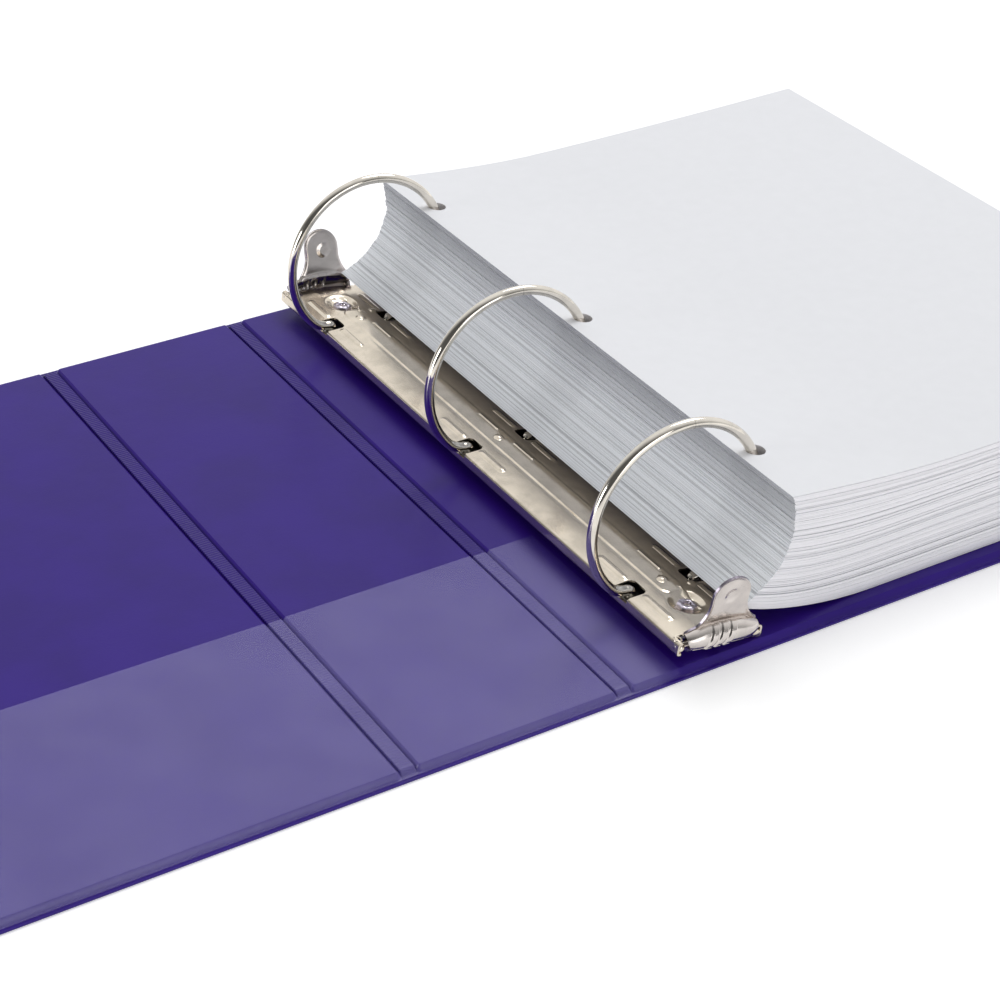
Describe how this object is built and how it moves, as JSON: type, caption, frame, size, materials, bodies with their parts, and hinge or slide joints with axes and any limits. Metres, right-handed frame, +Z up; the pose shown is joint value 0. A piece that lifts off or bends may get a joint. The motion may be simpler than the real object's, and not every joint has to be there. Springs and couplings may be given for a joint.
{
  "type": "three-ring binder",
  "caption": "Ring binder lying open, with stiff vinyl covers, clear inner pockets, a metal ring mechanism with end levers and a thick stack of punched sheets.",
  "frame": {"origin": "on the underside of the back cover, below the centre of the middle ring", "axes": "+X from the spine to the back cover's fore edge, +Y along the spine away from the pockets, +Z up"},
  "size_m": [0.667, 0.2938, 0.0756],
  "materials": {
    "vinyl": "violet embossed vinyl sheet, soft sheen",
    "clear_vinyl": "frosted clear vinyl sheet",
    "chipboard": "plain grey chipboard",
    "nickel": "bright nickel plated sheet steel",
    "ring_nickel": "bright nickel plated wire",
    "blade_steel": "zinc plated strip",
    "rivet_steel": "bright nickel plated tubular rivet",
    "paper": "plain white copy paper"
  },
  "bodies": {
    "back_cover": {"back_outer_skin": "vinyl", "back_board": "chipboard", "back_liner": "vinyl", "back_pocket": "clear_vinyl", "rear_hinge_strip": "vinyl", "housing_plate": "nickel", "near_rivet": "rivet_steel", "far_rivet": "rivet_steel", "paper_stack": "paper"},
    "spine": {"spine_outer_skin": "vinyl", "spine_board": "chipboard", "spine_liner": "vinyl", "spine_pocket": "clear_vinyl", "front_hinge_strip": "vinyl"},
    "front_cover": {"front_outer_skin": "vinyl", "front_board": "chipboard", "front_liner": "vinyl", "front_pocket": "clear_vinyl"},
    "left_rings": {"left_blade": "blade_steel", "far_ring_left": "ring_nickel", "middle_ring_left": "ring_nickel", "near_ring_left": "ring_nickel"},
    "right_rings": {"right_blade": "blade_steel", "far_ring_right": "ring_nickel", "middle_ring_right": "ring_nickel", "near_ring_right": "ring_nickel"},
    "near_lever": {"near_trigger": "nickel"},
    "far_lever": {"far_trigger": "nickel"}
  },
  "joints": [
    {"name": "rear_hinge", "type": "hinge", "parent": "back_cover", "child": "spine", "pos_m": [-0.04391, 0, 0.0016], "axis": [0, 1, 0], "range_deg": [0, 90], "deforming": ["rear_hinge_strip"]},
    {"name": "front_hinge", "type": "hinge", "parent": "spine", "child": "front_cover", "pos_m": [-0.12711, 0, 0.0016], "axis": [0, 1, 0], "range_deg": [0, 90], "deforming": ["front_hinge_strip"]},
    {"name": "left_rings_open", "type": "hinge", "parent": "back_cover", "child": "left_rings", "pos_m": [-0.01992, 0, 0.00975], "axis": [0, -1, 0], "range_deg": [0, 9.6]},
    {"name": "right_rings_open", "type": "hinge", "parent": "back_cover", "child": "right_rings", "pos_m": [0.01224, 0, 0.0058], "axis": [0, 1, 0], "range_deg": [0, 9.61], "deforming": ["paper_stack"]},
    {"name": "near_trigger_press", "type": "hinge", "parent": "back_cover", "child": "near_lever", "pos_m": [-0.00378, -0.141, 0.00827], "axis": [0.9925, 0, -0.1219], "range_deg": [0, 24.81]},
    {"name": "far_trigger_press", "type": "hinge", "parent": "back_cover", "child": "far_lever", "pos_m": [-0.00378, 0.141, 0.00827], "axis": [-0.9925, 0, 0.1219], "range_deg": [0, 24.81]}
  ],
  "couplings": [
    {"joint": "right_rings_open", "follows": "left_rings_open", "ratio": 1},
    {"joint": "near_trigger_press", "follows": "left_rings_open", "ratio": 2.5827},
    {"joint": "far_trigger_press", "follows": "left_rings_open", "ratio": 2.5827}
  ]
}
